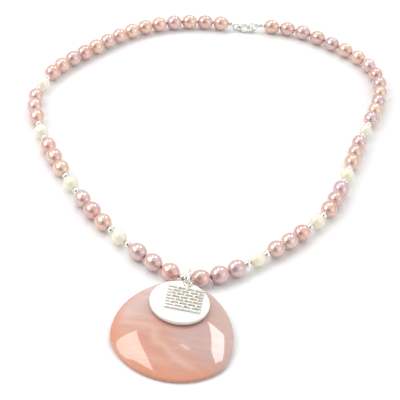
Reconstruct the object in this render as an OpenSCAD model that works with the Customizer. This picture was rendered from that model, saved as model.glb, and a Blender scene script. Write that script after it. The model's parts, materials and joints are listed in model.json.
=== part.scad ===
// Pearl necklace with a shell pendant, laid out as an egg-shaped loop.
// Millimetres, +Z up. The necklace rests on Z = 0 and its outline is centred on X and Y.
// The pendant lies towards -Y and the clasp is at the far side, towards +Y.

/* [Pearls] */
// Diameter of a pink pearl
pearl_d = 6.0; // [5.8:0.1:6.2]
// Length of a pink pearl along its hole
pearl_len = 6.5; // [6.3:0.1:6.7]
// Diameter of a white pearl
white_d = 5.6; // [5:0.1:5.7]
// Length of a white pearl along its hole
white_len = 6.0; // [5.8:0.1:6.4]
// Hole drilled through each pearl
drill_d = 0.8; // [0.7:0.05:1]
// Gap between neighbouring beads
bead_gap = 0.2; // [0.15:0.05:0.3]

/* [Silver beads] */
// Diameter of a silver spacer bead
spacer_d = 2.5; // [2:0.1:3]
// Length of a silver spacer bead along its hole
spacer_len = 2.2; // [1.8:0.1:2.4]

/* [Wire] */
// Diameter of the beading wire
wire_d = 0.4; // [0.3:0.05:0.5]
// Room on the wire for the jump ring
ring_slot = 1.2; // [1.1:0.1:1.6]

/* [Jump ring] */
// Outer diameter of the jump ring
ring_od = 8.4; // [8.2:0.1:8.6]
// Wire diameter of the jump ring
ring_wire_d = 0.9; // [0.8:0.05:0.95]

/* [Shell disc] */
// Width of the egg-shaped shell disc
shell_w = 36.8; // [35:0.2:37.4]
// Height of the shell disc
shell_h = 39.5; // [39:0.1:40]
// Radius of its two long sides
shell_side_r = 25; // [23:0.5:28]
// Thickness at the crown of the shell disc
shell_t = 3.0; // [2.8:0.1:3.1]
// Radius of the domed front face
shell_dome_r = 108; // [100:1:140]
// Hole for the jump ring
shell_hole_d = 2.2; // [2.1:0.05:2.4]
// Lean of the disc, which is lifted where the ring passes under it
shell_tilt = 3.1; // [2.9:0.1:3.2]
// Sideways turn of the disc about the jump ring
shell_turn = -6; // [-8:1:0]

/* [White disc] */
// Diameter of the white shell disc
plate_d = 19.4; // [18:0.2:20]
// Thickness of the white shell disc
plate_t = 1.6; // [1.4:0.1:1.7]
// Rounding of its edge
plate_edge_r = 0.45; // [0.3:0.05:0.6]
// Hole for the jump ring
plate_hole_d = 1.9; // [1.85:0.05:2]
// Sideways turn of the disc about the jump ring
plate_turn = -11; // [-14:1:0]

/* [Charm] */
// Width of the lattice plaque
charm_w = 11.2; // [10:0.2:12.4]
// Height of the lattice plaque
charm_h = 9.8; // [8:0.2:10]
// Thickness of the lattice plaque
charm_t = 0.6; // [0.5:0.05:0.7]
// Width of each lattice bar
charm_bar = 0.5; // [0.4:0.05:0.6]
// Number of long bars in the lattice
charm_rows = 8; // [6:1:8]
// Sideways turn of the charm about the jump ring
charm_turn = -2; // [-6:1:4]

/* [Clasp] */
// Radius of the rounded clasp body
claw_bulb_r = 1.8; // [1.7:0.05:1.9]
// Thickness of the rounded clasp body
claw_bulb_t = 1.9; // [1.8:0.1:2]
// Radius of the opening inside the hook
claw_mouth_r = 1.15; // [1.1:0.05:1.2]
// Width of the hook's arm
claw_arm_w = 0.7; // [0.6:0.05:0.75]
// Thickness of the hook's arm
claw_arm_t = 0.9; // [0.8:0.05:0.95]
// Outer diameter of the catch ring
catch_od = 4.0; // [3.9:0.05:4.1]
// Wire diameter of the catch ring
catch_wire_d = 0.6; // [0.5:0.05:0.65]
// Length of a crimp tube
crimp_len = 1.4; // [1.2:0.1:1.5]

/* [Hidden] */
$fn = 64;

PINK = 0;
SPACER = 1;
WHITE = 2;
RIGHT = 1;
LEFT = -1;

// Points that the strand's centreline passes through, anticlockwise from the jump ring
LOOP_POINTS = [[0.5, -44.3], [15, -35.8], [30.5, -18.6], [43.3, 1], [49.8, 23], [54, 44], [59, 63],
    [62.9, 84], [59, 101], [46, 112.5], [26, 120.5], [3, 117], [-19, 112], [-36.5, 100], [-50.5, 81],
    [-62, 61], [-65.5, 40], [-59, 20], [-47.3, -1], [-33, -20.5], [-16.5, -35.8]];
path_steps = 16;

// Beads of one side, counted from the jump ring towards the clasp
SIDE_BEADS = concat([for (k = [1:4]) each [PINK, PINK, PINK, SPACER, WHITE, SPACER]],
    [for (k = [1:14]) PINK]);
// First bead of each hinged stretch of one side, and one past its last bead
STRETCH_START = [0, 3, 9, 15, 21, 28, 33, 38];
stretches = 6;
side_count = len(SIDE_BEADS);

bead_pitch = [pearl_len, spacer_len, white_len] + [1, 1, 1] * bead_gap;
side_edges = [for (i = 0, s = 0; i <= side_count;
    s = s + (i < side_count ? bead_pitch[SIDE_BEADS[i]] : 0), i = i + 1) s];
side_len = side_edges[side_count];
wire_z = pearl_d / 2;
wire_trim = 0.05;

// Clasp layout, measured along the straight line between the two last pearls
crimp_r = 0.9;
crimp_gap = 0.05;
loop_wire_r = wire_d / 2;
left_loop_r = 1.3;
right_loop_r = 1.0;
left_loop_x = bead_gap + crimp_len + crimp_gap + left_loop_r + loop_wire_r;
claw_x = left_loop_x + 1.15;
claw_mouth_x = 4.4;
claw_arm_r = claw_mouth_r + claw_arm_w / 2;
catch_x = claw_x + claw_mouth_x + claw_arm_r;
catch_r = (catch_od - catch_wire_d) / 2;
catch_z = catch_od / 2 + 0.05;
right_loop_x = catch_x + 1.65;
clasp_span = right_loop_x + right_loop_r + loop_wire_r + crimp_gap + crimp_len + bead_gap;
claw_z = 1.35;
left_loop_z = 1.75;

strand_len = 2 * side_len + bead_pitch[SPACER] + ring_slot + clasp_span;

function spline(a, b, c, d, t) =
    (2 * b + (c - a) * t + (2 * a - 5 * b + 4 * c - d) * t * t
    + (3 * b - a - 3 * c + d) * t * t * t) / 2;
loop_n = len(LOOP_POINTS);
loop_raw = [for (i = [0:loop_n - 1], k = [0:path_steps - 1])
    spline(LOOP_POINTS[(i + loop_n - 1) % loop_n], LOOP_POINTS[i],
        LOOP_POINTS[(i + 1) % loop_n], LOOP_POINTS[(i + 2) % loop_n], k / path_steps)];
loop_closed = concat(loop_raw, [loop_raw[0]]);
loop_run = [for (i = 0, s = 0; i < len(loop_closed);
    s = s + (i < len(loop_raw) ? norm(loop_closed[i + 1] - loop_closed[i]) : 0), i = i + 1) s];
loop_scale = strand_len / loop_run[len(loop_raw)];
table_x = [for (i = [0:len(loop_raw)]) [loop_run[i] * loop_scale, loop_closed[i].x * loop_scale]];
table_y = [for (i = [0:len(loop_raw)]) [loop_run[i] * loop_scale, loop_closed[i].y * loop_scale]];
// Point on the centreline at a distance s from the jump ring, positive to the right
function on_loop(s) = let (q = (s + strand_len) % strand_len) [lookup(q, table_x), lookup(q, table_y)];

// Edge between beads i - 1 and i of one side, on the centreline
function side_start(side) = ring_slot / 2 + (side == LEFT ? bead_pitch[SPACER] : 0);
function raw_edge(side, i) = on_loop(side * (side_start(side) + side_edges[i]));

// Pendant, placed from the jump ring's centre
ring_r = (ring_od - ring_wire_d) / 2;
ring_z = ring_od / 2 + 0.05;
ring_back = 2.55;
hole_back = 3.5;
shell_hole_edge = 2.8;
shell_mid_y = shell_hole_edge - shell_h / 2;
shell_widest_y = shell_mid_y - 2.35;
shell_reach = shell_h / 2 - shell_mid_y * cos(shell_turn);
plate_z = 4.36;
plate_hole_edge = 1.75;
charm_z = plate_z + plate_t + 0.1;
charm_eye_r = 1.15;
charm_eye_wire_r = 0.28;
charm_eye_back = sqrt(pow(ring_r, 2) - pow(charm_z + charm_t / 2 - ring_z, 2));
charm_drop = 2.5;

// Shift that centres the outline on X and Y
raw_mids = [for (side = [RIGHT, LEFT], i = [0:side_count - 1])
    (raw_edge(side, i) + raw_edge(side, i + 1)) / 2];
raw_low_y = on_loop(0).y - ring_back - hole_back - shell_reach * cos(shell_tilt);
raw_high_y = max([for (p = raw_mids) p.y]) + pearl_d / 2;
raw_low_x = min([for (p = raw_mids) p.x]) - pearl_d / 2;
raw_high_x = max([for (p = raw_mids) p.x]) + pearl_d / 2;
shift = -[raw_low_x + raw_high_x, raw_low_y + raw_high_y] / 2;

function edge(side, i) = raw_edge(side, i) + shift;
bail = on_loop(0) + shift;
ring_centre = [bail.x, bail.y - ring_back, ring_z];
clasp_left = edge(LEFT, side_count);
clasp_right = edge(RIGHT, side_count);
clasp_turn = atan2(clasp_right.y - clasp_left.y, clasp_right.x - clasp_left.x);

// ---- Beads ----

// Pearl along Z: a short straight belt between two round ends, with a hole
module drilled_pearl(d, length, hole) {
    belt = length - d;
    rotate_extrude()
        difference() {
            union() {
                for (y = [-belt / 2, belt / 2])
                    intersection() {
                        translate([0, y]) circle(d / 2);
                        translate([0, -length]) square([d, 2 * length]);
                    }
                translate([0, -belt / 2]) square([d / 2, belt]);
            }
            translate([-1, -length]) square([1 + hole / 2, 2 * length]);
        }
}

// Round silver bead along Z with flat, drilled ends
module round_bead(d, length, hole) {
    rotate_extrude()
        intersection() {
            circle(d / 2);
            translate([hole / 2, -length / 2]) square([d, length]);
        }
}

// Places a bead that is drawn along Z between two edge points of the wire
module between(a, b) {
    mid = (a + b) / 2;
    translate([mid.x, mid.y, wire_z])
        rotate([0, 90, atan2(b.y - a.y, b.x - a.x)])
            children();
}

module bead(kind) {
    if (kind == PINK) drilled_pearl(pearl_d, pearl_len, drill_d);
    if (kind == WHITE) drilled_pearl(white_d, white_len, drill_d);
    if (kind == SPACER) round_bead(spacer_d, spacer_len, drill_d);
}

// All the beads of one kind in one stretch of one side
module stretch_beads(side, stretch, kind) {
    for (i = [STRETCH_START[stretch]:STRETCH_START[stretch + 1] - 1])
        if (SIDE_BEADS[i] == kind)
            between(edge(side, i), edge(side, i + 1)) bead(kind);
}

module side_pearls(side, stretch) {
    color("rosybrown") stretch_beads(side, stretch, PINK);
}

module side_white_pearl(side, stretch) {
    color("ivory") stretch_beads(side, stretch, WHITE);
}

module side_spacers(side, stretch) {
    color("silver") stretch_beads(side, stretch, SPACER);
}

module front_pearls() {
    for (side = [RIGHT, LEFT]) side_pearls(side, 0);
}

module centre_spacer() {
    color("silver")
        between(edge(LEFT, 0), on_loop(-ring_slot / 2) + shift) bead(SPACER);
}

// ---- Wire ----

wire_sides = 8;

// Tube through points that all lie in one upright or level run
module wire_tube(points, r) {
    n = len(points);
    dirs = [for (i = [0:n - 1])
        let (v = points[min(i + 1, n - 1)] - points[max(i - 1, 0)]) v / norm(v)];
    rings = [for (i = [0:n - 1], k = [0:wire_sides - 1])
        let (across = [-dirs[i].y, dirs[i].x, 0] / norm([dirs[i].x, dirs[i].y]),
            up = cross(dirs[i], across),
            a = 360 * k / wire_sides)
        points[i] + r * (across * cos(a) + up * sin(a))];
    walls = [for (i = [0:n - 2], k = [0:wire_sides - 1])
        let (a = i * wire_sides, b = a + wire_sides, j = (k + 1) % wire_sides)
        [a + k, b + k, b + j, a + j]];
    first = [for (k = [0:wire_sides - 1]) k];
    last = [for (k = [0:wire_sides - 1]) n * wire_sides - 1 - k];
    polyhedron(rings, concat(walls, [first], [last]));
}

// Edge points of one stretch, pulled back a little where the wire meets its neighbours
function trimmed(points) =
    let (n = len(points), a = points[1] - points[0], b = points[n - 2] - points[n - 1])
    [for (i = [0:n - 1])
        i == 0 ? points[0] + a / norm(a) * wire_trim :
        i == n - 1 ? points[n - 1] + b / norm(b) * wire_trim : points[i]];

function lifted(points) = [for (p = points) [p.x, p.y, wire_z]];

function stretch_points(side, stretch) =
    [for (i = [STRETCH_START[stretch]:STRETCH_START[stretch + 1]]) edge(side, i)];

module side_wire(side, stretch) {
    points = stretch_points(side, stretch);
    n = len(points);
    out = (side == RIGHT ? clasp_left - clasp_right : clasp_right - clasp_left);
    tail = points[n - 1] + out / norm(out) * (bead_gap + crimp_len);
    full = stretch == stretches ? concat(points, [tail]) : points;
    color("gainsboro") wire_tube(lifted(trimmed(full)), wire_d / 2);
}

module front_wire() {
    points = concat([for (i = [3:-1:0]) edge(LEFT, i)], [bail], [for (i = [0:3]) edge(RIGHT, i)]);
    color("gainsboro") wire_tube(lifted(trimmed(points)), wire_d / 2);
}

// ---- Clasp ----

// Local X runs from the last left pearl to the last right pearl
module clasp_frame() {
    translate([clasp_left.x, clasp_left.y, 0]) rotate([0, 0, clasp_turn]) children();
}

module torus(r, wire_r) {
    rotate_extrude() translate([r, 0]) circle(wire_r, $fn = 32);
}

module crimp(x) {
    color("silver")
        clasp_frame()
            translate([x, 0, wire_z])
                rotate([0, 90, 0])
                    difference() {
                        cylinder(r = crimp_r, h = crimp_len);
                        translate([0, 0, -1]) cylinder(d = drill_d, h = crimp_len + 2);
                    }
}

module left_crimp() {
    crimp(bead_gap);
}

module right_crimp() {
    crimp(clasp_span - bead_gap - crimp_len);
}

module left_end_loop() {
    color("gainsboro")
        clasp_frame()
            translate([left_loop_x, 0, left_loop_z])
                rotate([90, 0, 0])
                    torus(left_loop_r, loop_wire_r);
}

module right_end_loop() {
    color("gainsboro")
        clasp_frame()
            translate([right_loop_x, 0, wire_z])
                torus(right_loop_r, loop_wire_r);
}

claw_eye_r = 0.95;
claw_eye_hole_r = 0.5;
claw_eye_t = 0.8;
claw_bulb_x = 2.3;
claw_turn = 3;
pivot = [3.3, 1.0];
pin_r = 0.24;
ear_bore_r = 0.25;
lever_bore_r = 0.28;
lever_t = 0.6;
slot_t = 0.8;
slot_floor_x = 2.2;
arm_end = 42;
mouth_start = 150;

// Claw pieces share this frame: eye at the origin, hook towards +X, opening on +Y
module claw_frame() {
    clasp_frame() translate([claw_x, 0, claw_z]) rotate([0, 0, claw_turn]) children();
}

module centred_extrude(h) {
    translate([0, 0, -h / 2]) linear_extrude(h) children();
}

module claw_body() {
    far = 4;
    color("silver")
        claw_frame()
            difference() {
                union() {
                    centred_extrude(claw_eye_t) {
                        circle(claw_eye_r);
                        translate([0, -0.6]) square([1.6, 1.2]);
                    }
                    translate([claw_bulb_x, 0, -claw_bulb_t / 2]) cylinder(r = claw_bulb_r, h = claw_bulb_t);
                    centred_extrude(claw_arm_t)
                        difference() {
                            translate([claw_mouth_x, 0]) circle(claw_mouth_r + claw_arm_w);
                            translate([claw_mouth_x, 0])
                                polygon([[0, 0], far * [cos(arm_end), sin(arm_end)], [0, far],
                                    far * [cos(mouth_start), sin(mouth_start)]]);
                        }
                }
                cylinder(r = claw_eye_hole_r, h = 2 * far, center = true);
                translate([claw_mouth_x, 0]) cylinder(r = claw_mouth_r, h = 2 * far, center = true);
                translate([slot_floor_x, 0.2, -slot_t / 2]) cube([far, far, slot_t]);
                translate([pivot.x, pivot.y, 0]) cylinder(r = ear_bore_r, h = 2 * far, center = true);
            }
}

module claw_lever() {
    tip = [5.1, 0.78];
    thumb = [2.95, 2.0];
    color("gainsboro")
        claw_frame()
            difference() {
                centred_extrude(lever_t)
                    union() {
                        translate(pivot) circle(0.5);
                        translate(pivot)
                            rotate(atan2(tip.y - pivot.y, tip.x - pivot.x))
                                translate([0, -0.2]) square([norm(tip - pivot) - 0.2, 0.4]);
                        translate(tip - [0.2, 0]) circle(0.2);
                        translate(pivot)
                            rotate(atan2(thumb.y - pivot.y, thumb.x - pivot.x))
                                translate([0, -0.25]) square([norm(thumb - pivot), 0.5]);
                        translate(thumb) circle(0.4);
                    }
                translate([pivot.x, pivot.y, 0]) cylinder(r = lever_bore_r, h = 4, center = true);
            }
}

module claw_pin() {
    color("silver")
        claw_frame()
            translate([pivot.x, pivot.y, 0]) cylinder(r = pin_r, h = claw_bulb_t, center = true);
}

module claw_spring() {
    color("dimgray")
        claw_frame()
            translate([slot_floor_x + 0.1, 0.4, -0.25]) cube([0.15, 0.9, 0.5]);
}

module catch_ring() {
    color("silver")
        clasp_frame()
            translate([catch_x, 0, catch_z])
                rotate([90, 0, 0])
                    torus(catch_r, catch_wire_d / 2);
}

// ---- Pendant ----

module jump_ring() {
    color("silver") translate(ring_centre) rotate([0, 90, 0]) torus(ring_r, ring_wire_d / 2);
}

// Egg outline: a circle for the ends, narrowed by two longer side arcs
module shell_outline() {
    side_x = shell_side_r - shell_w / 2;
    intersection() {
        translate([0, shell_mid_y]) circle(shell_h / 2, $fn = 128);
        translate([side_x, shell_widest_y]) circle(shell_side_r, $fn = 128);
        translate([-side_x, shell_widest_y]) circle(shell_side_r, $fn = 128);
    }
}

// Round cap with a domed front, wider and deeper than the disc that it shapes
module shell_dome() {
    rotate_extrude($fn = 128)
        intersection() {
            translate([0, shell_t - shell_dome_r]) circle(shell_dome_r, $fn = 720);
            translate([0, -1]) square([shell_w, shell_t + 1]);
        }
}

module shell_disc() {
    color("lightsalmon")
        translate([ring_centre.x, ring_centre.y - hole_back, shell_reach * sin(shell_tilt)])
            rotate([shell_tilt, 0, 0])
                rotate([0, 0, shell_turn])
                    difference() {
                        intersection() {
                            linear_extrude(shell_t) shell_outline();
                            translate([0, shell_mid_y, 0]) shell_dome();
                        }
                        cylinder(d = shell_hole_d, h = 4 * shell_t, center = true);
                    }
}

module white_disc() {
    r = plate_d / 2;
    color("white")
        translate([ring_centre.x, ring_centre.y - hole_back, plate_z])
            rotate([0, 0, plate_turn])
                difference() {
                    translate([0, plate_hole_edge - r, 0])
                        rotate_extrude($fn = 128) {
                            square([r - plate_edge_r, plate_t]);
                            translate([0, plate_edge_r]) square([r, plate_t - 2 * plate_edge_r]);
                            for (z = [plate_edge_r, plate_t - plate_edge_r])
                                translate([r - plate_edge_r, z]) circle(plate_edge_r, $fn = 32);
                        }
                    cylinder(d = plate_hole_d, h = 4 * plate_t, center = true);
                }
}

// Open lattice of long bars with free ends, joined by short ones in a staggered, brick-like order
module lattice() {
    row_step = (charm_h - charm_bar) / (charm_rows - 1);
    posts = 4;
    post_step = (charm_w - charm_bar) / posts;
    for (row = [0:charm_rows - 1]) {
        translate([-charm_w / 2, -charm_h + row * row_step]) square([charm_w, charm_bar]);
        if (row < charm_rows - 1)
            for (post = [1 - row % 2:posts - 1])
                translate([-charm_w / 2 + (post + (row % 2) / 2) * post_step, -charm_h + row * row_step])
                    square([charm_bar, row_step + charm_bar]);
    }
}

module charm() {
    color("silver")
        translate([ring_centre.x, ring_centre.y - charm_eye_back, charm_z])
            rotate([0, 0, charm_turn]) {
                translate([0, 0, charm_t / 2]) torus(charm_eye_r, charm_eye_wire_r);
                linear_extrude(charm_t) {
                    translate([0, -charm_drop]) lattice();
                    translate([-0.4, -charm_drop - 0.1])
                        square([0.8, charm_drop - charm_eye_r + charm_eye_wire_r / 2]);
                }
            }
}

front_pearls();
centre_spacer();
front_wire();
for (k = [1:stretches]) {
    side_pearls(RIGHT, k);
    side_white_pearl(RIGHT, k);
    side_spacers(RIGHT, k);
    side_wire(RIGHT, k);
    side_pearls(LEFT, k);
    side_white_pearl(LEFT, k);
    side_spacers(LEFT, k);
    side_wire(LEFT, k);
}
right_crimp();
left_crimp();
right_end_loop();
left_end_loop();
claw_body();
claw_lever();
claw_pin();
claw_spring();
catch_ring();
jump_ring();
shell_disc();
white_disc();
charm();
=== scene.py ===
"""Pearl necklace with a shell pendant: its looks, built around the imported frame.

Each piece stands for one node of the frame and takes its place and size from that node.
"""

import json
import math
import random

import bmesh
import bpy
import numpy as np
from mathutils import Matrix, Vector, noise


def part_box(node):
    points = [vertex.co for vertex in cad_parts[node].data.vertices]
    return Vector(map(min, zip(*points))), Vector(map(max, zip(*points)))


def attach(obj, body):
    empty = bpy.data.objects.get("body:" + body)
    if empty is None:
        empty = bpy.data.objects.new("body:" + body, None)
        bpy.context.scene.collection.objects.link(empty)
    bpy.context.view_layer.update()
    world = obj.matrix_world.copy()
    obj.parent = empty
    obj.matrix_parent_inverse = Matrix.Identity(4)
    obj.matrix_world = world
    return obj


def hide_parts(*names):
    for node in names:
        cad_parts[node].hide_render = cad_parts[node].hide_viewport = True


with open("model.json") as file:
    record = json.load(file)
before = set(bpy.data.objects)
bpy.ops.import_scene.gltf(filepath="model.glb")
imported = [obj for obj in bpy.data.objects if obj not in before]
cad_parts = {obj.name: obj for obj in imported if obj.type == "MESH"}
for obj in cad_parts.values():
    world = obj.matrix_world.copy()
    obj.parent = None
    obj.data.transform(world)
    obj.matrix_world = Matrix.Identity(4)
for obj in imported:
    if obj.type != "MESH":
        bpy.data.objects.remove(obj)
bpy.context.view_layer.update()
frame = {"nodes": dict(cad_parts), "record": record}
bodies = frame["record"]["behaviour"]["bodies"]
body_of = {node: body for body, nodes in bodies.items() for node in nodes}
slot_of = {part["node"]: part["material_slot"] for part in frame["record"]["subparts"]}

MM = 0.001
UP = Vector((0, 0, 1))
WHOLE_TURN = 2 * math.pi


# ---- Node shaders ----

def srgb(red, green, blue):
    """A colour given as 0 to 255 per channel, as the linear colour that a shader takes."""
    channels = [c / 255 for c in (red, green, blue)]
    return tuple(c / 12.92 if c <= 0.04045 else ((c + 0.055) / 1.055) ** 2.4 for c in channels) + (1.0,)


class Nodes:
    """Short calls that add nodes to a shader's or a world's node tree."""

    def __init__(self, tree):
        self.tree = tree

    def feed(self, sockets, inputs):
        """Links or sets each input, found by its name or number."""
        for key, value in inputs.items():
            if isinstance(value, bpy.types.NodeSocket):
                self.tree.links.new(value, sockets[key])
            else:
                sockets[key].default_value = value

    def add(self, kind, inputs=None, **settings):
        node = self.tree.nodes.new("ShaderNode" + kind)
        for name, value in settings.items():
            setattr(node, name, value)
        self.feed(node.inputs, inputs or {})
        return node

    def math(self, operation, a, b):
        return self.add("Math", {0: a, 1: b}, operation=operation).outputs[0]

    def span(self, value, low, high, to_low=0.0, to_high=1.0):
        """A value's range low to high, as the range to_low to to_high, eased at both ends."""
        return self.add("MapRange", {"Value": value, "From Min": low, "From Max": high,
                                     "To Min": to_low, "To Max": to_high},
                        interpolation_type="SMOOTHSTEP").outputs["Result"]


class Shader(Nodes):
    """A Principled material. Its sockets are given by name, with _ for a space."""

    def __init__(self, name, **sockets):
        self.mat = bpy.data.materials.new(name)
        self.mat.use_nodes = True
        super().__init__(self.mat.node_tree)
        self.bsdf = self.tree.nodes["Principled BSDF"]
        for socket, value in sockets.items():
            self.bsdf.inputs[socket.replace("_", " ")].default_value = value

    def plug(self, socket, output):
        self.tree.links.new(output, self.bsdf.inputs[socket])

    def place(self, scale, location=(0, 0, 0)):
        """Coordinates in the piece's own space, measured from that place in units of that scale."""
        coords = self.add("TexCoord").outputs["Object"]
        return self.add("Mapping", {"Vector": coords, "Location": location, "Scale": scale},
                        vector_type="TEXTURE").outputs[0]

    def noise(self, vector, scale, detail=3.0, roughness=0.5, distortion=0.0):
        return self.add("TexNoise", {"Vector": vector, "Scale": scale, "Detail": detail,
                                     "Roughness": roughness, "Distortion": distortion}).outputs["Fac"]

    def mix(self, factor, a, b):
        """Colour a, turning into colour b as the factor goes from 0 to 1."""
        return self.add("Mix", {0: factor, 6: a, 7: b}, data_type="RGBA").outputs[2]

    def ramp(self, value, stops):
        node = self.add("ValToRGB", {"Fac": value})
        elements = node.color_ramp.elements
        while len(elements) < len(stops):
            elements.new(1.0)
        for element, (position, colour) in zip(elements, stops):
            element.position = position
            element.color = colour
        return node.outputs["Color"]

    def bump(self, height, distance, strength=1.0):
        self.plug("Normal", self.add("Bump", {"Height": height, "Distance": distance,
                                              "Strength": strength}).outputs["Normal"])


def nacre(name, flecks, overtone, metallic, roughness, coat_tint):
    """Pearl lustre: each pearl's own tint, clouded by an overtone and mottled with flecks."""
    s = Shader(name, Metallic=metallic, Coat_Weight=0.8, Coat_Roughness=0.11, Coat_IOR=1.6,
               Coat_Tint=coat_tint, Thin_Film_Thickness=420, Thin_Film_IOR=1.45)
    where = s.place((MM, MM, MM))
    tint = s.add("Attribute", attribute_name="tint", attribute_type="GEOMETRY").outputs["Color"]
    clouds = s.span(s.noise(where, 0.32, 3), 0.38, 0.68, 0, 0.6)
    mottle = s.span(s.noise(where, 1.6, 4, 0.6), 0.42, 0.7, 0, 0.25)
    s.plug("Base Color", s.mix(mottle, s.mix(clouds, tint, overtone), flecks))
    s.plug("Roughness", s.span(s.noise(where, 1.3, 3), 0.3, 0.7, roughness - 0.04, roughness + 0.05))
    s.bump(s.noise(where, 0.7, 2), 0.05 * MM, 0.3)
    return s.mat


def polished(name, colour, shade, roughness):
    """Polished metal with faint handling marks and slightly duller patches."""
    s = Shader(name, Metallic=1.0)
    where = s.place((MM, MM, MM))
    dull = s.span(s.noise(where, 0.9, 4, 0.6), 0.45, 0.75)
    s.plug("Base Color", s.mix(dull, colour, shade))
    s.plug("Roughness", s.span(s.noise(where, 6, 5, 0.65), 0.35, 0.75, roughness, roughness + 0.12))
    s.bump(s.noise(where, 9, 3), 0.008 * MM, 0.4)
    return s.mat


def stranded(name):
    """Twisted beading wire: fine diagonal grooves of the strands, with painted shade darkening the
    grooves.
    """
    s = Shader(name, Metallic=1.0)
    where = s.place((MM, MM, MM))
    grooves = s.add("TexWave", {"Vector": where, "Scale": 3.2, "Distortion": 1.5, "Detail": 2.0},
                    bands_direction="DIAGONAL").outputs["Fac"]
    # The base colour is darker where the grooves are deepest: painted shade between the strands.
    s.plug("Base Color", s.mix(grooves, srgb(150, 148, 146), srgb(226, 226, 228)))
    s.plug("Roughness", s.span(grooves, 0, 1, 0.4, 0.22))
    s.bump(grooves, 0.03 * MM)
    return s.mat


def pink_shell(name, place):
    """Polished mother-of-pearl: slanting growth bands, fine streaks, a mauve heart and a peach rim."""
    s = Shader(name, Coat_Weight=1.0, Coat_Roughness=0.015, Coat_IOR=1.5, Roughness=0.4,
               Specular_IOR_Level=0.2, Subsurface_Weight=0.1, Subsurface_Scale=2.0 * MM)
    where = s.place(**place)
    axes = s.add("SeparateXYZ", {0: where}).outputs
    x, y = axes[0], axes[1]

    # The bands slant down to the right, bend a little and wander.
    slant = s.math("ADD", s.math("MULTIPLY", x, 0.55), y)
    bend = s.math("MULTIPLY", s.math("MULTIPLY", x, x), 0.3)
    wander = s.span(s.noise(where, 0.9, 2, 0.5), 0.3, 0.7, -0.2, 0.2)
    along = s.math("ADD", s.math("ADD", slant, bend), wander)
    bands = s.ramp(s.span(along, -1.3, 1.3), [
        (0.00, srgb(196, 132, 104)), (0.12, srgb(206, 149, 125)), (0.22, srgb(200, 142, 124)),
        (0.30, srgb(209, 166, 148)), (0.38, srgb(200, 147, 130)), (0.47, srgb(194, 154, 145)),
        (0.60, srgb(190, 157, 151)), (0.72, srgb(194, 157, 149)), (0.84, srgb(195, 161, 150)),
        (1.00, srgb(200, 169, 158))])

    # Streaks along X, some paler and some deeper than the bands. Their turn only shifts the pattern.
    fibres = s.add("Mapping", {"Vector": where, "Rotation": (0, 0, math.radians(29)),
                               "Scale": (0.9, 7, 1)}).outputs[0]
    streaks = s.noise(fibres, 1.5, 4, 0.6, 0.5)
    lined = s.mix(s.span(streaks, 0.45, 0.75, 0, 0.3), bands, srgb(214, 186, 172))
    lined = s.mix(s.span(streaks, 0.45, 0.25, 0, 0.4), lined, srgb(198, 140, 122))

    # The upper left is paler, and the rim is warmer at the lower left.
    upper_left = s.span(s.math("SUBTRACT", y, x), 0.2, 1.3)
    pale = s.math("MULTIPLY", upper_left, s.span(streaks, 0.3, 0.7, 0.4, 0.9))
    lined = s.mix(pale, lined, srgb(216, 192, 184))
    reach = s.add("VectorMath", {0: s.add("CombineXYZ", {0: x, 1: y}).outputs[0]},
                  operation="LENGTH").outputs["Value"]
    warm_side = s.span(s.math("ADD", s.math("MULTIPLY", x, 0.8), y), 0.5, -0.6)
    rim = s.math("MULTIPLY", s.span(reach, 0.74, 1.04), warm_side)
    s.plug("Base Color", s.mix(rim, lined, srgb(208, 142, 114)))
    s.bump(s.noise(where, 1.6, 2), 0.04 * MM, 0.1)
    return s.mat


def white_shell(name, place):
    """White mother-of-pearl with faint rose and green clouds and a peach layer towards its back."""
    s = Shader(name, Coat_Weight=1.0, Coat_Roughness=0.03, Coat_IOR=1.55, Roughness=0.3,
               Subsurface_Weight=0.4, Subsurface_Scale=3.0 * MM)
    where = s.place(**place)
    height = s.add("SeparateXYZ", {0: where}).outputs[2]
    clouds = s.noise(where, 1.6, 3, 0.5, 0.6)
    top = s.mix(s.span(clouds, 0.5, 0.7, 0, 0.5), srgb(250, 248, 244), srgb(246, 232, 226))
    top = s.mix(s.span(clouds, 0.5, 0.34, 0, 0.4), top, srgb(236, 242, 236))
    layer = s.math("ADD", height, s.span(clouds, 0.3, 0.7, -0.2, 0.2))
    s.plug("Base Color", s.mix(s.span(layer, 0.0, -0.9), top, srgb(248, 218, 198)))
    return s.mat


PEARL_TINTS = [srgb(230, 197, 188), srgb(221, 194, 200), srgb(234, 202, 186), srgb(216, 194, 202),
               srgb(232, 192, 183), srgb(238, 210, 190), srgb(224, 189, 186), srgb(228, 203, 201)]
CREAM_TINTS = [srgb(250, 246, 230), srgb(250, 248, 238), srgb(246, 240, 220)]

materials = {
    "pink_pearl": nacre("pink_nacre", srgb(244, 228, 220), srgb(236, 204, 190), metallic=0.5,
                        roughness=0.2, coat_tint=(0.97, 0.89, 0.865, 1)),
    "white_pearl": nacre("cream_nacre", srgb(252, 250, 244), srgb(244, 236, 214), metallic=0.1,
                         roughness=0.2, coat_tint=(0.99, 0.97, 0.92, 1)),
    "silver": polished("bright_silver", srgb(240, 239, 236), srgb(214, 211, 206), 0.06),
    "wire": stranded("beading_wire"),
    "spring_steel": polished("spring_steel", srgb(150, 150, 152), srgb(110, 110, 114), 0.3),
}
satin_silver = polished("satin_silver", srgb(234, 229, 220), srgb(214, 207, 196), 0.3)


# ---- Mesh helpers ----

# Points nearer than this along the edges of a node's faces are the same point.
SAME_POINT = 0.0005 * MM


def to_mesh(bm, name):
    """A mesh of that bmesh, which is freed."""
    mesh = bpy.data.meshes.new(name)
    bm.to_mesh(mesh)
    bm.free()
    return mesh


def add_object(name, data):
    """A new object in the scene."""
    made = bpy.data.objects.new(name, data)
    bpy.context.scene.collection.objects.link(made)
    return made


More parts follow.
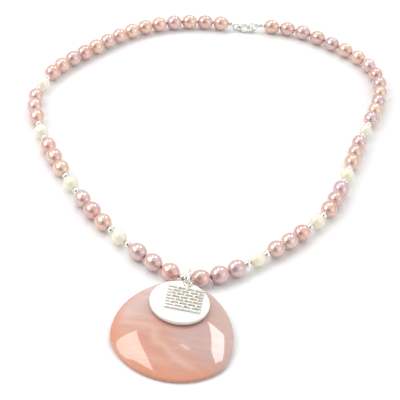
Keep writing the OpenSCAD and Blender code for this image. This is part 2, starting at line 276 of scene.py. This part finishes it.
def finish_piece(bm, node, suffix, material):
    """Turns a bmesh into the smooth piece that stands for one node of the frame."""
    bmesh.ops.recalc_face_normals(bm, faces=bm.faces)
    mesh = to_mesh(bm, f"{node}_{suffix}")
    mesh.materials.append(material)
    mesh.shade_smooth()
    piece = add_object(mesh.name, mesh)
    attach(piece, body_of[node])
    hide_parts(node)
    return piece


def node_bmesh(node):
    """The node's mesh with the doubled points along its face edges joined."""
    bm = bmesh.new()
    bm.from_mesh(frame["nodes"][node].data)
    bmesh.ops.remove_doubles(bm, verts=bm.verts, dist=SAME_POINT)
    return bm


def middle(points):
    """The middle of the box round the points."""
    co = np.array(points)
    return Vector((co.min(0) + co.max(0)) / 2)


def circle(count):
    """Angles at even steps, once round."""
    return [WHOLE_TURN * k / count for k in range(count)]


def basis(x, y, z):
    """The turn that takes the axes to these three directions."""
    return Matrix((x, y, z)).transposed().to_4x4()


def join_rings(bm, ring, after):
    """The faces between two rings of equally many points."""
    count = len(ring)
    for k in range(count):
        m = (k + 1) % count
        bm.faces.new((ring[k], ring[m], after[m], after[k]))


def skin_rings(bm, rings):
    """The faces along a row of rings, closed at its two ends."""
    for ring, after in zip(rings, rings[1:]):
        join_rings(bm, ring, after)
    bm.faces.new(rings[0])
    bm.faces.new(rings[-1])


def revolve(bm, matrix, profile, segments):
    """A closed ring of (along X, radius) points turned about X."""
    rings = []
    for x, r in profile:
        rings.append([bm.verts.new(matrix @ Vector((x, r * math.cos(a), r * math.sin(a))))
                      for a in circle(segments)])
    for i, ring in enumerate(rings):
        join_rings(bm, ring, rings[(i + 1) % len(rings)])
    return [vert for ring in rings for vert in ring]


# ---- Beads ----

HOLE_R = 0.4 * MM
LIP = 0.06 * MM
# A pearl is longer than its CAD solid by this, so that neighbours look as if they touch.
EXTRA_LENGTH_MM = (0.08, 0.14)
# A pearl's radius as a share of its CAD solid's
GIRTH = (0.945, 0.99)
# How much thicker one end of a pearl may be than its middle, as a share of its radius
SKEW = 0.035
# How much darker or lighter a pearl may be than its tint
SHADE = (0.94, 1.05)
# Fineness of the swellings in a pearl's skin, per metre
SWELLINGS = 288
# Mean depth of the skin below the smooth oval
PINK_DENTS = 0.07 * MM
CREAM_DENTS = 0.16 * MM
# Steps along a bead's outline and round its hole
PEARL_STEPS, PEARL_SIDES = 30, 44
SPACER_STEPS, SPACER_SIDES = 16, 32
BEAD_SEED = 5


def islands(bm):
    """The separate solids of a bmesh, as lists of points."""
    left = set(bm.verts)
    found = []
    while left:
        stack = [left.pop()]
        island = []
        while stack:
            vert = stack.pop()
            island.append(vert.co.copy())
            for edge in vert.link_edges:
                other = edge.other_vert(vert)
                if other in left:
                    left.remove(other)
                    stack.append(other)
        found.append(island)
    return found


def strand_beads():
    """Every bead of the strand in order round the neck, each with its node, centre, axis and size."""
    low, high = frame["record"]["physics"]["openings"][0]["box_m"]
    neck = (Vector(low) + Vector(high)) / 2
    beads = []
    for node in frame["nodes"]:
        if "pearl" in node or "spacer" in node:
            bm = node_bmesh(node)
            beads += [{"node": node, "points": points, "centre": middle(points)} for points in islands(bm)]
            bm.free()
    # The clasp is at the far side, so the order starts and ends there.
    beads.sort(key=lambda b: math.atan2(b["centre"].x - neck.x, neck.y - b["centre"].y))
    for i, bead in enumerate(beads):
        before = beads[max(i - 1, 0)]["centre"]
        after = beads[min(i + 1, len(beads) - 1)]["centre"]
        bead["axis"] = (after - before).normalized()
        offsets = [p - bead["centre"] for p in bead["points"]]
        bead["length"] = 2 * max(abs(o.dot(bead["axis"])) for o in offsets)
        bead["radius"] = max((o - bead["axis"] * o.dot(bead["axis"])).length for o in offsets)
    return beads


def bead_matrix(bead):
    """Local X along the bead's hole, at the bead's centre."""
    x = bead["axis"]
    y = UP.cross(x).normalized()
    return Matrix.Translation(bead["centre"]) @ basis(x, y, x.cross(y))


def end_to_end(first, steps):
    """Angles along a bead's outline, from first to as far short of half a turn."""
    return [first + (math.pi - 2 * first) * i / steps for i in range(steps + 1)]


def oval_profile(length, radius, skew):
    """Outline of a drilled oval: its skin, then the two lips and the bore."""
    skin = []
    for a in end_to_end(math.asin((HOLE_R + LIP) / radius), PEARL_STEPS):
        x = -length / 2 * math.cos(a)
        skin.append((x, radius * math.sin(a) * (1 + skew * 2 * x / length)))
    end = skin[-1][0]
    bore = [(end - LIP, HOLE_R), (end / 3, HOLE_R), (-end / 3, HOLE_R), (-end + LIP, HOLE_R)]
    return skin + bore


def pearl(bm, bead, rng, tints, dents, layer):
    """One drilled pearl with its own slight shape, size and tint."""
    seed = Vector((rng.uniform(0, 90), rng.uniform(0, 90), rng.uniform(0, 90)))
    length = bead["length"] + rng.uniform(*EXTRA_LENGTH_MM) * MM
    radius = bead["radius"] * rng.uniform(*GIRTH)
    profile = oval_profile(length, radius, rng.uniform(-SKEW, SKEW))
    verts = revolve(bm, bead_matrix(bead), profile, PEARL_SIDES)
    tint = Vector(rng.choice(tints)) * rng.uniform(*SHADE)
    for vert in verts:
        out = vert.co - bead["centre"]
        away = (out - bead["axis"] * out.dot(bead["axis"])).length
        # The skin beside the hole stays round.
        if away > 1.6 * HOLE_R:
            swell = noise.noise(out * SWELLINGS + seed)
            vert.co += out.normalized() * (swell - 1) * dents
        vert[layer] = (*tint[:3], 1.0)


def silver_bead(bm, bead):
    """One small round bead with softly broken edges round its hole."""
    radius = bead["radius"]
    end = bead["length"] / 2
    flat = math.sqrt(radius ** 2 - end ** 2)
    profile = [(-radius * math.cos(a), radius * math.sin(a))
               for a in end_to_end(math.asin((flat + LIP) / radius), SPACER_STEPS)]
    profile += [(end, flat - LIP), (end, HOLE_R + LIP), (end - LIP, HOLE_R)]
    profile += [(LIP - end, HOLE_R), (-end, HOLE_R + LIP), (-end, flat - LIP)]
    revolve(bm, bead_matrix(bead), profile, SPACER_SIDES)


def make_beads():
    rng = random.Random(BEAD_SEED)
    by_node = {}
    for bead in strand_beads():
        by_node.setdefault(bead["node"], []).append(bead)
    for node, beads in by_node.items():
        bm = bmesh.new()
        layer = bm.verts.layers.float_color.new("tint")
        slot = slot_of[node]
        for bead in beads:
            if slot == "silver":
                silver_bead(bm, bead)
            elif slot == "white_pearl":
                pearl(bm, bead, rng, CREAM_TINTS, CREAM_DENTS, layer)
            else:
                pearl(bm, bead, rng, PEARL_TINTS, PINK_DENTS, layer)
        finish_piece(bm, node, "polished", materials[slot])


# ---- Wire and metal ----

# How far a ring stays inside the reach of its node's ring
RING_INSET = 0.01 * MM


def make_wire(node):
    """A rounder copy of the node's eight-sided wire."""
    bm = node_bmesh(node)
    bmesh.ops.dissolve_limit(bm, angle_limit=math.radians(1), verts=bm.verts, edges=bm.edges)
    piece = finish_piece(bm, node, "strand", materials["wire"])
    round_off = piece.modifiers.new("round", "SUBSURF")
    round_off.levels = round_off.render_levels = 1


def torus(bm, matrix, ring_r, wire_r, cut, rings=96, sides=20):
    """A wire ring about local Z. A cut over 0 leaves that gap, centred on local +X."""
    gap = cut / ring_r
    count = rings + (1 if cut else 0)
    loops = []
    for i in range(count):
        a = gap / 2 + (WHOLE_TURN - gap) * i / rings
        out = Vector((math.cos(a), math.sin(a), 0))
        loops.append([bm.verts.new(matrix @ (out * (ring_r + wire_r * math.cos(b))
                                             + UP * wire_r * math.sin(b)))
                      for b in circle(sides)])
    for i in range(rings):
        join_rings(bm, loops[i], loops[(i + 1) % count])
    if cut:
        bm.faces.new(loops[0])
        bm.faces.new(reversed(loops[-1]))


def make_ring(node, wire_r, cut=0, cut_turn=0):
    """A wire ring where the node's own ring lies, with its joint turned by cut_turn degrees."""
    points = [v.co for v in frame["nodes"][node].data.vertices]
    co = np.array(points)
    # The ring is flattest along its own axis.
    _, axes = np.linalg.eigh(np.cov((co - co.mean(0)).T))
    normal = Vector(axes[:, 0]).normalized()
    across = normal.orthogonal().normalized()
    mid = middle(points)
    reach = max((p - mid).length for p in points)
    place = Matrix.Translation(mid) @ basis(across, normal.cross(across), normal)
    turned = place @ Matrix.Rotation(math.radians(cut_turn), 4, "Z")
    bm = bmesh.new()
    torus(bm, turned, reach - wire_r - RING_INSET, wire_r, cut)
    finish_piece(bm, node, "wire", materials[slot_of[node]])


def make_worked_metal(node, bevel, material):
    """A copy of the node's solid with its sharp edges broken, as cast and polished metal has."""
    bm = node_bmesh(node)
    bmesh.ops.dissolve_limit(bm, angle_limit=math.radians(0.5), verts=bm.verts, edges=bm.edges)
    piece = finish_piece(bm, node, "metal", material)
    edge = piece.modifiers.new("edge", "BEVEL")
    edge.width = bevel
    edge.segments = 2
    edge.limit_method = "ANGLE"
    edge.angle_limit = math.radians(40)
    edge.harden_normals = True


# ---- Discs ----

# Points round a disc's outline
DISC_SIDES = 192
# Sides of the drill that bores its hole
DRILL_SIDES = 48
# A face counts as flat on the back when it leans less than this, as a cosine, and lies this near
LEAST_COSINE = 0.9999
SAME_LEVEL = 0.01 * MM
# The softened outline stays inside the exact one by this share
INSIDE = 0.9995


def loop_length(loop):
    return sum((loop[i] - loop[i - 1]).length for i in range(len(loop)))


def flat_back(node):
    """The lower flat face of a disc: its upward normal, its rim and the rim of its hole."""
    bm = node_bmesh(node)
    for face in bm.faces:
        face.normal_update()
    down = min(bm.faces, key=lambda f: f.normal.z).normal.copy()
    level_of = {f: f.calc_center_median().dot(down) for f in bm.faces if f.normal.dot(down) > LEAST_COSINE}
    level = min(level_of.values())
    flat = {f for f in level_of if abs(level_of[f] - level) < SAME_LEVEL}
    rim = {e for f in flat for e in f.edges if sum(g in flat for g in e.link_faces) == 1}
    loops = []
    while rim:
        edge = rim.pop()
        start, here = edge.verts
        loop = [start.co.copy(), here.co.copy()]
        while here != start:
            edge = next(e for e in here.link_edges if e in rim)
            rim.remove(edge)
            here = edge.other_vert(here)
            loop.append(here.co.copy())
        loops.append(loop[:-1])
    bm.free()
    loops.sort(key=loop_length)
    return -down, loops[-1], loops[0]


def smooth_radii(points, softness):
    """The outline's radii at even angles, softened round its corners and kept inside it."""
    points = sorted((math.atan2(p.y, p.x), p.xy.length) for p in points)
    angles, radii = np.array(points).T
    exact = np.interp(circle(DISC_SIDES), angles, radii, period=WHOLE_TURN)
    waves = np.fft.rfft(exact)
    waves *= np.exp(-0.5 * (np.arange(len(waves)) * softness) ** 2)
    soft = np.fft.irfft(waves, DISC_SIDES)
    return soft * min(1.0, float((exact / soft).min()) * INSIDE)


def dome(top, edge, round_r, power, radius):
    """Section of a disc with a flat back, a rounded edge and a front that falls away towards the rim.

    It lists points as the share of the way out to the rim, the inset from the rim and the height.
    """
    section = [(share, round_r, 0) for share in (0.02, 0.5, 0.9)]
    lower_steps, upper_steps, front_steps = 6, 7, 23
    for i in range(lower_steps + 1):
        a = math.radians(90 * i / lower_steps)
        section.append((1, round_r * (1 - math.sin(a)), round_r * (1 - math.cos(a))))
    # The edge's round stops where it is as steep as the front is at the rim.
    steepest = math.atan(power * (top - edge) / radius)
    for i in range(upper_steps + 1):
        a = (math.pi / 2 - steepest) * i / upper_steps
        section.append((1, round_r * (1 - math.cos(a)), edge - round_r * (1 - math.sin(a))))
    _, inset, rim_height = section[-1]
    # The front's points lie closer together near the rim.
    for i in range(front_steps + 1):
        share = 0.975 - 0.955 * (i / front_steps) ** 1.2
        section.append((share, inset, top - (top - rim_height) * share ** power))
    return section


def bore_hole(piece, place, hole, top, flare):
    """Cuts the drilled hole, a little wider at its two mouths."""
    mid = middle(hole)
    radius = max((p - mid).length for p in hole)
    beyond = 1 * MM
    bm = bmesh.new()
    rings = []
    for z, r in ((-beyond, radius + flare + beyond), (flare, radius), (top - flare, radius),
                 (top + beyond, radius + flare + beyond)):
        rings.append([bm.verts.new(place @ Vector((mid.x + r * math.cos(a), mid.y + r * math.sin(a), z)))
                      for a in circle(DRILL_SIDES)])
    skin_rings(bm, rings)
    bmesh.ops.recalc_face_normals(bm, faces=bm.faces)
    cutter = add_object("cutter", to_mesh(bm, "cutter"))
    cut = piece.modifiers.new("hole", "BOOLEAN")
    cut.object = cutter
    cut.solver = "EXACT"
    bpy.context.view_layer.update()
    graph = bpy.context.evaluated_depsgraph_get()
    bored = bpy.data.meshes.new_from_object(piece.evaluated_get(graph))
    piece.modifiers.clear()
    piece.data = bored
    bpy.data.objects.remove(cutter)


def make_disc(node, material, section, softness, hole_flare):
    """A disc with the node's outline and that section, and its drilled hole."""
    up, rim, hole = flat_back(node)
    side = (Vector((1, 0, 0)) - up * up.x).normalized()
    place = Matrix.Translation(middle(rim)) @ basis(side, up.cross(side), up)
    inverse = place.inverted()
    radii = smooth_radii([inverse @ p for p in rim], softness)
    bm = bmesh.new()
    rings = []
    for share, inset, height in section:
        ring = []
        for a, r in zip(circle(DISC_SIDES), radii):
            out = share * (r - inset)
            ring.append(bm.verts.new(place @ Vector((out * math.cos(a), out * math.sin(a), height))))
        rings.append(ring)
    skin_rings(bm, rings)
    piece = finish_piece(bm, node, "polished", material)
    top = max(height for _, _, height in section)
    bore_hole(piece, place, [inverse @ p for p in hole], top, hole_flare)


# ---- Assembly ----

BEVELS_MM = {"claw_body": 0.12, "claw_lever": 0.08, "claw_pin": 0.03, "claw_spring": 0.02,
             "left_crimp": 0.08, "right_crimp": 0.08}

make_beads()
for name in frame["nodes"]:
    if "_wire" in name:
        make_wire(name)
for name, bevel_mm in BEVELS_MM.items():
    make_worked_metal(name, bevel_mm * MM, materials[slot_of[name]])
make_worked_metal("charm", 0.1 * MM, satin_silver)
make_ring("jump_ring", 0.45 * MM, cut=0.06 * MM, cut_turn=35)
make_ring("catch_ring", 0.3 * MM, cut=0.05 * MM, cut_turn=120)
make_ring("left_end_loop", 0.2 * MM)
make_ring("right_end_loop", 0.2 * MM)

shell_low, shell_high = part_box("shell_disc")
shell_mid = (shell_low + shell_high) / 2
shell_half = (shell_high - shell_low) / 2
shell_place = {"scale": (shell_half.x, shell_half.y, shell_half.x), "location": shell_mid}
make_disc("shell_disc", pink_shell("pink_mother_of_pearl", shell_place),
          dome(top=2.9 * MM, edge=1.3 * MM, round_r=0.5 * MM, power=3, radius=shell_half.x),
          softness=0.03, hole_flare=0.1 * MM)

plate_low, plate_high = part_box("white_disc")
plate_half = (plate_high - plate_low) / 2
plate_place = {"scale": plate_half, "location": (plate_low + plate_high) / 2}
make_disc("white_disc", white_shell("white_mother_of_pearl", plate_place),
          dome(top=1.6 * MM, edge=1.5 * MM, round_r=0.45 * MM, power=3, radius=plate_half.x),
          softness=0.0, hole_flare=0.08 * MM)


# ---- Stage ----

# Radiance and corners of each bright patch of the tent. The shell reflects them.
WINDOWS = [
    # One window on the left, in two parts that share a side
    (6.5, [(-15, 50), (-37, 54.5), (-36, 66.5), (-21, 75)]),
    (6.5, [(-37, 54.5), (-51, 60), (-49.5, 63.5), (-36, 66.5)]),
    # One on the right
    (8.5, [(12, 44), (33.5, 60), (35, 51), (24, 42.5)]),
    # A small lamp between them
    (4.0, [(2.5, 54), (7, 56), (6.5, 57), (2, 55)]),
]


def heading(azimuth, elevation):
    """Unit direction, from degrees. The azimuth turns from +Y towards +X."""
    a, e = math.radians(azimuth), math.radians(elevation)
    return Vector((math.sin(a) * math.cos(e), math.cos(a) * math.cos(e), math.sin(e)))


def make_floor():
    """A wide pale floor, a little below the lowest point of the necklace."""
    bm = bmesh.new()
    bmesh.ops.create_grid(bm, x_segments=1, y_segments=1, size=6)
    mesh = to_mesh(bm, "floor")
    mesh.materials.append(Shader("floor", Base_Color=(0.9, 0.9, 0.9, 1), Roughness=0.7,
                                 Specular_IOR_Level=0.1).mat)
    floor = add_object("floor", mesh)
    floor.location.z = -0.05 * MM


def make_side_lamp():
    """A flat lamp on the left, which faces the pendant and puts a soft sheen on the shell."""
    distance, width, depth, radiance = 0.8, 0.6, 0.5, 2.9
    away = heading(-94, 44)
    level = Vector((0.1, 1, 0.15))
    side = (level - away * away.dot(level)).normalized()
    data = bpy.data.lights.new("side_panel", "AREA")
    data.shape = "RECTANGLE"
    data.size, data.size_y = width, depth
    data.energy = radiance * math.pi * width * depth
    lamp = add_object("side_panel", data)
    turn = basis(side, away.cross(side), away)
    lamp.matrix_world = Matrix.Translation(shell_mid + away * distance) @ turn


def make_world():
    """A bright tent with windows. It is darker low down and where the photographer stands."""
    world = bpy.data.worlds.new("tent")
    world.use_nodes = True
    tent = Nodes(world.node_tree)
    look = tent.add("TexCoord").outputs["Generated"]

    def facing(direction):
        """Cosine of the angle between a direction and the one looked in."""
        return tent.add("VectorMath", {0: look, 1: direction}, operation="DOT_PRODUCT").outputs["Value"]

    def patch(centre, outer, inner, outside, inside):
        """A round patch. Its strength changes between two angles, in degrees, from its centre."""
        return tent.span(facing(heading(*centre)), math.cos(math.radians(outer)),
                         math.cos(math.radians(inner)), outside, inside)

    def window(radiance, corners):
        """A bright patch with straight sides between the directions of its corners."""
        blur = 0.006
        ways = [heading(*corner) for corner in corners]
        middle_way = sum(ways, Vector())
        shape = radiance
        for a, b in zip(ways, ways[1:] + ways[:1]):
            side = a.cross(b).normalized()
            inward = side if side.dot(middle_way) > 0 else -side
            shape = tent.math("MULTIPLY", tent.span(facing(inward), -blur, blur), shape)
        return shape

    height = tent.add("SeparateXYZ", {0: look}).outputs[2]
    photographer = patch((190, 38), outer=33, inner=15, outside=1, inside=0.06)
    glow = tent.math("MULTIPLY", photographer, tent.span(height, 0.0, 0.45, 0.4, 0.9))
    side_glow = patch((110, 19), outer=32, inner=12, outside=0, inside=0.8)
    for bright in [window(radiance, corners) for radiance, corners in WINDOWS] + [side_glow]:
        glow = tent.math("ADD", glow, bright)
    tent.feed(world.node_tree.nodes["Background"].inputs, {"Strength": glow, "Color": (1, 1, 1, 1)})
    bpy.context.scene.world = world


def make_camera():
    """The camera stands in front of the pendant and looks down at the middle of the strand."""
    elevation, roll = math.radians(37.84), math.radians(9.44)
    distance = 428.5 * MM
    target = Vector((1.378, -18.393, 0)) * MM
    ahead = Vector((0, math.cos(elevation), -math.sin(elevation)))
    level, upright = Vector((1, 0, 0)), Vector((0, math.sin(elevation), math.cos(elevation)))
    right = level * math.cos(roll) + upright * math.sin(roll)
    top = upright * math.cos(roll) - level * math.sin(roll)
    data = bpy.data.cameras.new("camera")
    data.sensor_width = 36
    data.lens = 112.5
    data.clip_start, data.clip_end = 0.01, 50
    camera = add_object("camera", data)
    camera.matrix_world = Matrix.Translation(target - ahead * distance) @ basis(right, top, -ahead)
    bpy.context.scene.camera = camera


make_floor()
make_world()
make_side_lamp()
make_camera()
bpy.context.scene.view_settings.view_transform = "Standard"
